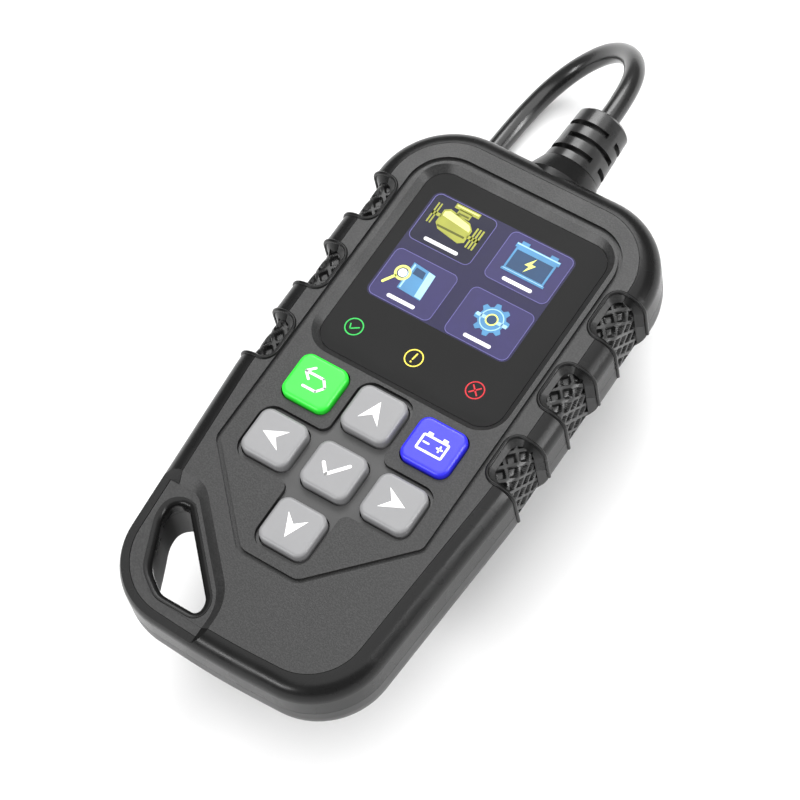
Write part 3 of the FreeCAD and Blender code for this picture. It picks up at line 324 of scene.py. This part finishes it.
def rounded(width, length, radius, x=0.0, y=0.0, steps=6):
    """A rounded rectangle, from its right-hand upper corner round to the left."""
    points = []
    for quarter, (sx, sy) in enumerate(((1, 1), (-1, 1), (-1, -1), (1, -1))):
        for i in range(steps + 1):
            angle = math.pi / 2 * (quarter + i / steps)
            points.append((x + sx * (width / 2 - radius) + radius * math.cos(angle),
                           y + sy * (length / 2 - radius) + radius * math.sin(angle)))
    return points


def frame_of(width, length, radius, stroke, x=0.0, y=0.0):
    """A rounded rectangle's border."""
    return (rounded(width, length, radius, x, y),
            rounded(width - 2 * stroke, length - 2 * stroke, max(0.05, radius - stroke), x, y))


def strokes(points, width, x=0.0, y=0.0):
    """Round-ended bars along a line of points."""
    bars = []
    for (ax, ay), (bx, by) in zip(points, points[1:]):
        run = math.hypot(bx - ax, by - ay)
        bar = rounded(run + width, width, width / 2 - 0.01)
        bars.append(turned(bar, math.atan2(by - ay, bx - ax), x + (ax + bx) / 2, y + (ay + by) / 2))
    return bars


def bead(name, points, radius, material, closed=False):
    """A round bead along a line of points, half sunk in the surface it follows."""
    curve = bpy.data.curves.new(name, "CURVE")
    curve.dimensions = "3D"
    spline = curve.splines.new("POLY")
    spline.points.add(len(points) - 1)
    for point, place in zip(spline.points, points):
        point.co = (*(c * MM for c in place), 1)
    spline.use_cyclic_u = closed
    curve.bevel_depth = radius * MM
    curve.bevel_resolution = 3
    curve.use_fill_caps = True
    curve.materials.append(material)
    piece = bpy.data.objects.new(name, curve)
    SCENE.collection.objects.link(piece)
    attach(piece, HOUSING)
    return piece


# ---- key legends ----

KEY_PITCH, KEYPAD_Y, KEY_TOP = 14.6, -19.0, 10.3
LEGEND_THICK = 0.06
ARROW = [(2.8, 0.0), (-2.3, 2.4), (-0.4, 0.0), (-2.3, -2.4)]
ARROWS = {"key_up": (0, 1, 1), "key_left": (-1, 0, 2), "key_down": (0, -1, 3), "key_right": (1, 0, 0)}


def legend(key, column, row, shapes):
    """A printed mark, a hair thick, on one key's top: white print with a faint painted glow."""
    moved = []
    for shape in shapes:
        outlines = shape if isinstance(shape, tuple) else (shape,)
        placed = tuple(turned(o, 0, column * KEY_PITCH, KEYPAD_Y + row * KEY_PITCH) for o in outlines)
        moved.append(placed if len(placed) == 2 else placed[0])
    flat_piece(key + "_legend", moved, KEY_TOP - 0.01, LEGEND_THICK, LEGEND_PAINTED_GLOW, key)


def make_legends():
    for key, (column, row, quarters) in ARROWS.items():
        legend(key, column, row, [turned(ARROW, quarters * math.pi / 2)])
    legend("key_ok", 0, 0, strokes([(-2.5, 0.3), (-0.7, -1.7), (2.7, 2.1)], 0.75))
    back = strokes([(-2.6, 1.2), (1.5, 1.2), (2.8, -0.4), (1.5, -2.0), (-1.6, -2.0)], 0.55)
    legend("key_exit", -1, 1, back + strokes([(-1.4, 2.6), (-2.9, 1.2), (-1.4, -0.2)], 0.55))
    cell = [frame_of(6.4, 3.9, 0.5, 0.5, 0, -0.4), rounded(1.2, 0.8, 0.15, -1.8, 1.8),
            rounded(1.2, 0.8, 0.15, 1.8, 1.8)]
    legend("key_battery", 1, 1, cell + strokes([(-2.2, -0.3), (-1.0, -0.3)], 0.4)
           + strokes([(1.0, -0.3), (2.2, -0.3)], 0.4) + strokes([(1.6, -0.9), (1.6, 0.3)], 0.4))


make_legends()

# ---- what the display shows ----

LENS_TOP = box_mm("lens_window")[1].z
SHEET = 0.02
TILE_WIDTH, TILE_LENGTH, TILE_RADIUS = 15.4, 12.4, 1.5
TILE_X, TILE_Y = (-10.9, 8.0), (41.1, 25.9)
PICTURE_X, PICTURE_Y = (TILE_X[0] + TILE_X[1]) / 2, (TILE_Y[0] + TILE_Y[1]) / 2


def lit(name, colour, glow=0.06):
    return moulded(name, colour, 0.35, mottle=0.10, mottle_size=5.0, grain=0.03, specular=0.2, glow=glow)


NAVY = lit("display_navy", (0.012, 0.010, 0.045))
TILE = lit("display_tile", (0.030, 0.025, 0.095))
TILE_DARK = lit("display_tile_dark", (0.004, 0.004, 0.020))
TILE_EDGE = lit("display_edge", (0.110, 0.100, 0.280))
WHITE = lit("display_white", (0.80, 0.80, 0.82), 0.2)
OLIVE = lit("display_olive", (0.300, 0.310, 0.050))
OLIVE_LIGHT = lit("display_olive_light", (0.700, 0.720, 0.250))
OLIVE_DARK = lit("display_olive_dark", (0.090, 0.095, 0.012))
SKY = lit("display_sky", (0.075, 0.230, 0.420))
SKY_LIGHT = lit("display_sky_light", (0.330, 0.560, 0.760))
SKY_DARK = lit("display_sky_dark", (0.022, 0.055, 0.120))
BOLT = lit("display_bolt", (0.800, 0.850, 0.200))
LAMP_GREEN = lit("lamp_green", (0.030, 0.450, 0.080), 0.2)
LAMP_YELLOW = lit("lamp_yellow", (0.750, 0.620, 0.080), 0.2)
LAMP_RED = lit("lamp_red", (0.500, 0.020, 0.030), 0.2)


def shown(name, layer, material, shapes):
    """Part of the picture, on its own thin layer above the smoked window."""
    flat_piece("display_" + name, shapes, LENS_TOP - 0.01, 0.01 + SHEET * layer, material, HOUSING)


def shifted(shapes, x, y):
    moved = []
    for shape in shapes:
        outlines = shape if isinstance(shape, tuple) else (shape,)
        placed = tuple(turned(outline, 0, x, y) for outline in outlines)
        moved.append(placed if len(placed) == 2 else placed[0])
    return moved


def box(x0, y0, x1, y1):
    return [(x0, y0), (x1, y0), (x1, y1), (x0, y1)]


def make_engine(x, y):
    shown("engine_block", 4, OLIVE, shifted([
        [(-4.2, 2.2), (-3.0, 3.0), (2.4, 2.0), (3.8, 0.6), (3.8, -2.6), (2.6, -3.4), (-3.0, -2.4),
         (-4.2, -1.2)],
        box(-1.4, 2.4, 1.8, 3.9), box(-2.6, 3.7, 3.4, 4.9),
    ], x, y))
    shown("engine_light", 5, OLIVE_LIGHT, shifted([
        [(-3.8, 1.9), (-2.8, 2.5), (2.5, 1.5), (3.3, 0.7), (3.3, 0.0), (-3.8, 0.9)], box(-2.3, 4.3, 3.1, 4.6),
    ], x, y))
    fins = [box(4.4 + 0.75 * i, -3.4, 4.8 + 0.75 * i, 1.8) for i in range(3)]
    fins += [box(-6.2 + 0.7 * i, -2.0, -5.85 + 0.7 * i, 3.2) for i in range(2)]
    hubs = [box(3.6, -1.4, 6.3, -0.6), box(-6.2, 0.2, -4.0, 1.0)]
    shown("engine_fins", 4, OLIVE, shifted(fins + hubs, x, y))
    shades = [box(-3.6, -1.9, 3.2, -1.4), box(-1.1, 2.7, 1.5, 3.1)]
    shown("engine_shade", 5, OLIVE_DARK, shifted(shades, x, y))


def make_battery(x, y):
    shown("battery_case", 4, SKY_DARK, shifted([box(-4.8, -3.4, 4.8, 2.0)], x, y))
    shown("battery_edge", 5, SKY, shifted([
        frame_of(9.8, 5.6, 0.2, 0.45, 0, -0.7), box(-5.3, 2.1, 5.3, 3.2), box(-4.4, 3.2, -2.6, 3.9),
        box(2.6, 3.2, 4.4, 3.9), box(-5.2, -3.9, 5.2, -3.3),
    ], x, y))
    glints = [box(-5.2, 2.8, 5.2, 3.1), box(-4.9, -3.5, 4.9, -3.35)]
    shown("battery_light", 6, SKY_LIGHT, shifted(glints, x, y))
    shown("battery_bolt", 6, BOLT, shifted([
        [(0.5, 1.5), (-1.2, -0.8), (-0.1, -0.8), (-0.6, -2.5), (1.2, -0.1), (0.1, -0.1)],
    ], x, y))


def make_book(x, y):
    shown("book_cover", 4, SKY, shifted([[(-2.6, 3.6), (3.0, 3.0), (3.4, -3.6), (-2.6, -3.2)]], x, y))
    shown("book_pages", 5, SKY_LIGHT, shifted([
        [(1.4, 3.1), (3.1, 2.9), (3.4, -3.4), (1.8, -3.3)],
        [(-2.3, 3.3), (-1.9, 3.2), (-1.9, -2.9), (-2.3, -2.9)],
    ], x, y))
    shown("book_mark", 5, SKY_DARK, shifted([[(-1.5, 2.8), (0.9, 2.6), (1.2, 0.9), (-1.5, 1.1)]], x, y))
    shown("lens_mark", 6, BOLT, shifted([ring(1.55, 0.55, -3.4, 0.3)]
                                        + strokes([(-4.4, -1.0), (-6.0, -3.4)], 0.6), x, y))
    shown("lens_inside", 6, WHITE, shifted([disc(1.0, -3.4, 0.3, 20)], x, y))


def make_gear(x, y):
    teeth, steps, outline = 8, 6, []
    for i in range(teeth * steps):
        radius = 3.9 if i % steps in (0, 1, 2) else 3.0
        angle = 2 * math.pi * i / (teeth * steps)
        outline.append((radius * math.cos(angle), radius * math.sin(angle)))
    shown("gear", 4, SKY, shifted([outline], x, y))
    shown("gear_light", 5, SKY_LIGHT, shifted([box(-3.7, -0.45, 3.7, 0.35), ring(2.5, 0.25)], x, y))
    shown("gear_hub", 6, SKY_DARK, shifted([disc(1.25, 0, 0, 24)], x, y))
    shown("gear_ring", 7, BOLT, shifted([ring(1.25, 0.3)], x, y))


def make_display():
    shown("ground", 1, NAVY, [rounded(35.2, 28.2, TILE_RADIUS + 0.4, PICTURE_X, PICTURE_Y)])
    tiles = [(x, y) for y in TILE_Y for x in TILE_X]
    shown("tile_chosen", 2, TILE_DARK, [rounded(TILE_WIDTH, TILE_LENGTH, TILE_RADIUS, *tiles[0])])
    shown("tiles", 2, TILE, [rounded(TILE_WIDTH, TILE_LENGTH, TILE_RADIUS, *place) for place in tiles[1:]])
    shown("tile_edges", 3, TILE_EDGE, [
        frame_of(TILE_WIDTH, TILE_LENGTH, TILE_RADIUS, 0.16, *place) for place in tiles])
    captions = [rounded(wide, 0.85, 0.4, x, y - 4.7) for (x, y), wide in zip(tiles, (8.4, 7.2, 6.8, 6.6))]
    shown("captions", 4, WHITE, captions)
    for (x, y), make in zip(tiles, (make_engine, make_battery, make_book, make_gear)):
        make(x, y + 0.9)


make_display()

# ---- status marks on the window ----

MARK_Y, MARK_X = 11.4, (-16.0, -1.1, 13.9)
MARK_RADIUS, MARK_STROKE = 1.95, 0.28


def make_marks():
    inside = (
        strokes([(-1.0, 0.3), (-0.6, -0.8), (1.1, 0.3)], MARK_STROKE),
        strokes([(0.15, 1.1), (-0.1, -0.3)], 0.36) + [disc(0.22, -0.15, -1.0, 12)],
        strokes([(-0.9, 0.9), (0.9, -0.9)], 0.34) + strokes([(-0.9, -0.9), (0.9, 0.9)], 0.34),
    )
    for name, x, material, mark in zip(("ready", "caution", "fault"), MARK_X,
                                       (LAMP_GREEN, LAMP_YELLOW, LAMP_RED), inside):
        shown(name + "_mark", 1, material, shifted([ring(MARK_RADIUS, MARK_STROKE)] + mark, x, MARK_Y))


make_marks()

# ---- printed bars on the rear label, in place of words ----

LABEL_LOW = box_mm("rear_label")[0].z
INK_THICK, INK_SUNK = 0.03, 0.01


def make_label_marks():
    lines = [rounded(width, 0.9, 0.3, (width - 32) / 2, 16 - 3.4 * i)
             for i, width in enumerate((32, 27, 30, 22, 32, 25))]
    heading = rounded(18, 2.4, 0.5, -7, 24)
    borders = [frame_of(35.6, 45.6, 1.6, 0.3, 0, 5), frame_of(9, 9, 0.6, 0.5, 10, -11)]
    low = LABEL_LOW - INK_THICK + INK_SUNK
    flat_piece("label_marks", [heading, *borders, *lines], low, INK_THICK, LABEL_INK, HOUSING)


make_label_marks()

# ---- side grips: a diamond knurl pressed into the CAD insert's outer face ----

GRIP_TOP, GRIP_FOOT, GRIP_OUTER, GRIP_ROLL = 7.0, -7.5, 31.6, 2.8
GRIP_EDGE, GRIP_INNER, GRIP_UNDER = 26.5, 29.9, 5.2
GRIP_LOW, GRIP_HIGH = -7.5, 47.3
RIB_PITCH, RIB_WIDTH, RIB_SLOPE, KNURL_DEPTH = 2.9, 0.75, 0.35, 0.85


KNURL_STEP = 0.3  # the mesh's spacing, about a tenth of the rib pitch


def grip_line(step):
    """The insert's outer line in XZ as (x, z, outward x, outward z, distance along it)."""
    axis_x, axis_z = GRIP_OUTER - GRIP_ROLL, GRIP_TOP - GRIP_ROLL
    top, arc, flank = axis_x - GRIP_EDGE, GRIP_ROLL * math.pi / 2, axis_z - GRIP_FOOT
    count = round((top + arc + flank) / step)
    line = []
    for i in range(count + 1):
        t = (top + arc + flank) * i / count
        if t < top:
            line.append((GRIP_EDGE + t, GRIP_TOP, 0, 1, t))
        elif t < top + arc:
            angle = (t - top) / GRIP_ROLL
            out_x, out_z = math.sin(angle), math.cos(angle)
            line.append((axis_x + GRIP_ROLL * out_x, axis_z + GRIP_ROLL * out_z, out_x, out_z, t))
        else:
            line.append((GRIP_OUTER, axis_z - (t - top - arc), 1, 0, t))
    return line


def knurl(t, y):
    """How far the surface is pressed in: nothing on the two crossing sets of ribs, deep in the diamonds."""
    nearest = RIB_PITCH
    for across in ((t + y) * math.sqrt(0.5), (t - y) * math.sqrt(0.5)):
        nearest = min(nearest, abs((across / RIB_PITCH) % 1 - 0.5) * RIB_PITCH)
    return KNURL_DEPTH * smooth((nearest - RIB_WIDTH / 2) / RIB_SLOPE)


def make_grip(side, name):
    line = grip_line(KNURL_STEP)
    rows = round((GRIP_HIGH - GRIP_LOW) / KNURL_STEP)
    points, faces = [], []
    for j in range(rows + 1):
        y = GRIP_LOW + (GRIP_HIGH - GRIP_LOW) * j / rows
        for i, (x, z, out_x, out_z, t) in enumerate(line):
            border = j in (0, rows) or i in (0, len(line) - 1)
            deep = 0 if border else knurl(t, y)
            points.append((side * (x - out_x * deep), y, z - out_z * deep))
        points += [(side * GRIP_INNER, y, GRIP_FOOT), (side * GRIP_INNER, y, GRIP_UNDER),
                   (side * GRIP_EDGE, y, GRIP_UNDER)]
    loop = len(line) + 3
    for j in range(rows):
        for i in range(loop):
            k = (i + 1) % loop
            faces.append((j * loop + i, j * loop + k, (j + 1) * loop + k, (j + 1) * loop + i))
    faces.append(tuple(range(loop)))
    faces.append(tuple(rows * loop + i for i in range(loop)))
    grip = mesh_piece(name, points, faces, GRIP, HOUSING)
    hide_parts(name.replace("knurled", "insert"))


for side, name in ((-1, "grip_knurled_left"), (1, "grip_knurled_right")):
    make_grip(side, name)

# ---- raised lips round the grip windows ----

WINDOW_FIRST, WINDOW_PITCH, WINDOW_HALF, WINDOW_TURN, WINDOW_EDGE = 0.9, 19.1, 5.8, 2.9, 26.2
BODY_HALF_WIDTH = CAD_BOX[1].x / MM
FACE_Z, ROLL, LIP_RADIUS, LIP_FOOT = 8.7, 4.5, 0.42, -4.0


def half_lip(direction):
    """The mouth's edge from the side's foot up over the roll to the middle of its inner edge."""
    axis_x, axis_z, steps = BODY_HALF_WIDTH - ROLL, FACE_Z - ROLL, 10
    half = direction * WINDOW_HALF
    points = [(BODY_HALF_WIDTH, half, LIP_FOOT), (BODY_HALF_WIDTH, half, (LIP_FOOT + axis_z) / 2)]
    for i in range(steps + 1):
        angle = math.pi / 2 * i / steps
        points.append((axis_x + ROLL * math.cos(angle), half, axis_z + ROLL * math.sin(angle)))
    for i in range(1, steps + 1):
        angle = math.pi / 2 * i / steps
        points.append((WINDOW_EDGE + WINDOW_TURN * (1 - math.sin(angle)),
                       half - direction * WINDOW_TURN * (1 - math.cos(angle)), FACE_Z))
    return points


def make_lips():
    for side, word in ((-1, "left"), (1, "right")):
        for i in range(3):
            y = WINDOW_FIRST + i * WINDOW_PITCH
            route = half_lip(-1) + half_lip(1)[::-1]
            places = [(side * px, y + py, pz) for px, py, pz in route]
            bead(f"window_lip_{word}_{i + 1}", places, LIP_RADIUS, BUMPER)


make_lips()

# ---- lead ----

LEAD_RADIUS = 2.35
FLOOR = box_mm("lead_coil")[0].z
LEAD_FLOOR = FLOOR + LEAD_RADIUS
SPLIT = -0.8
COIL_X, COIL_Y, COIL_RADIUS = -5.0, -18.0, 23.5
LAYERS, TURNS = 4, 3.644
COIL_TOP = LEAD_FLOOR + 2 * LEAD_RADIUS * (LAYERS - 1)
PLUG_X, PLUG_ENTRY, PLUG_Z = -1.6, 21.0, FLOOR + 10.0
LEAD_START = (0, 82.6, SPLIT)
LEAD_RUN = [
    LEAD_START, (0.2, 93.6, SPLIT), (-5.2, 103.4, -6.0), (-14.2, 107.8, -14.6),
    (-23.0, 103.6, -23.2), (-28.2, 93.0, -28.1), (-29.6, 71.0, LEAD_FLOOR), (-30.0, 48.0, LEAD_FLOOR),
    (-29.7, 25.0, LEAD_FLOOR), (-29.0, 3.0, LEAD_FLOOR), (COIL_X - COIL_RADIUS, COIL_Y, LEAD_FLOOR),
]
LEAD_TAIL = [
    (9.5, 0.5, COIL_TOP), (6.2, 3.1, COIL_TOP - 0.4), (3.4, 6.1, COIL_TOP - 1.6), (1.2, 9.5, COIL_TOP - 3.3),
    (-0.4, 13.2, COIL_TOP - 5.0), (-1.3, 17.1, COIL_TOP - 6.1), (PLUG_X, PLUG_ENTRY, PLUG_Z),
]


def coil_points():
    """Flat turns one above another; each climbs to the next over its last quarter."""
    per_turn = 16
    reach = COIL_RADIUS / math.cos(math.pi / per_turn)  # the line runs inside its control points
    points = []
    for i in range(1, int(TURNS * per_turn)):
        turned = i / per_turn
        layer, part = divmod(turned, 1.0)
        climb = smooth((part - 0.69) / 0.27)
        angle = math.pi + 2 * math.pi * turned
        loose = 0.25 * math.sin(1.7 * turned)
        points.append((COIL_X + (reach + loose) * math.cos(angle), COIL_Y + (reach + loose) * math.sin(angle),
                       LEAD_FLOOR + 2 * LEAD_RADIUS * (layer + climb)))
    return points


def make_lead():
    curve = bpy.data.curves.new("lead", "CURVE")
    curve.dimensions = "3D"
    spline = curve.splines.new("NURBS")
    route = LEAD_RUN + coil_points() + LEAD_TAIL
    spline.points.add(len(route) - 1)
    for point, place in zip(spline.points, route):
        point.co = (*(c * MM for c in place), 1)
    spline.order_u = 3
    spline.use_endpoint_u = True
    curve.bevel_depth = LEAD_RADIUS * MM
    curve.bevel_resolution = 7
    curve.resolution_u = 10
    curve.use_fill_caps = True
    curve.materials.append(LEAD)
    lead = bpy.data.objects.new("lead", curve)
    SCENE.collection.objects.link(lead)
    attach(lead, HOUSING)
    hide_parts("lead_run", "lead_coil", "lead_tail")


make_lead()

# ---- floor, lights and sky ----


def make_floor():
    size = 6.0
    mesh = bpy.data.meshes.new("floor")
    corners = [(-size, -size, 0), (size, -size, 0), (size, size, 0), (-size, size, 0)]
    mesh.from_pydata(corners, [], [(0, 1, 2, 3)])
    made, nodes, links, surface = shader("floor_paper")
    coords = nodes.new("ShaderNodeTexCoord").outputs["Object"]
    cloud = noise(nodes, links, coords, 60.0)
    links.new(blend(nodes, links, cloud, grey(0.90), grey(0.92)), surface.inputs["Base Color"])
    surface.inputs["Roughness"].default_value = 0.9
    surface.inputs["Specular IOR Level"].default_value = 0.1
    mesh.materials.append(made)
    floor = bpy.data.objects.new("floor", mesh)
    floor.location.z = FLOOR * MM
    SCENE.collection.objects.link(floor)


def area_light(name, direction, distance, width, height, power):
    """A softbox that far from the housing's middle, facing it."""
    light = bpy.data.lights.new(name, "AREA")
    light.shape = "RECTANGLE"
    light.size = width
    light.size_y = height
    light.energy = power
    lamp = bpy.data.objects.new(name, light)
    towards = Vector(direction).normalized()
    lamp.location = towards * distance
    lamp.rotation_mode = "QUATERNION"
    lamp.rotation_quaternion = towards.to_track_quat("Z", "Y")
    SCENE.collection.objects.link(lamp)


def make_light():
    area_light("overhead", (0.10, 0.10, 1.0), 1.5, 2.2, 2.2, 30)
    area_light("back_panel", (-0.34, 0.62, 0.75), 0.9, 0.5, 0.3, 4.0)
    area_light("front_strip", (-0.30, -0.85, 0.40), 0.8, 0.60, 0.07, 4.0)
    area_light("right_strip", (0.88, 0.30, 0.36), 0.8, 0.07, 0.60, 3.5)
    world = bpy.data.worlds.new("studio")
    world.use_nodes = True
    sky = world.node_tree.nodes["Background"]
    sky.inputs["Color"].default_value = (1, 1, 1, 1)
    sky.inputs["Strength"].default_value = 0.30
    SCENE.world = world
    SCENE.view_settings.view_transform = "Standard"


make_floor()
make_light()
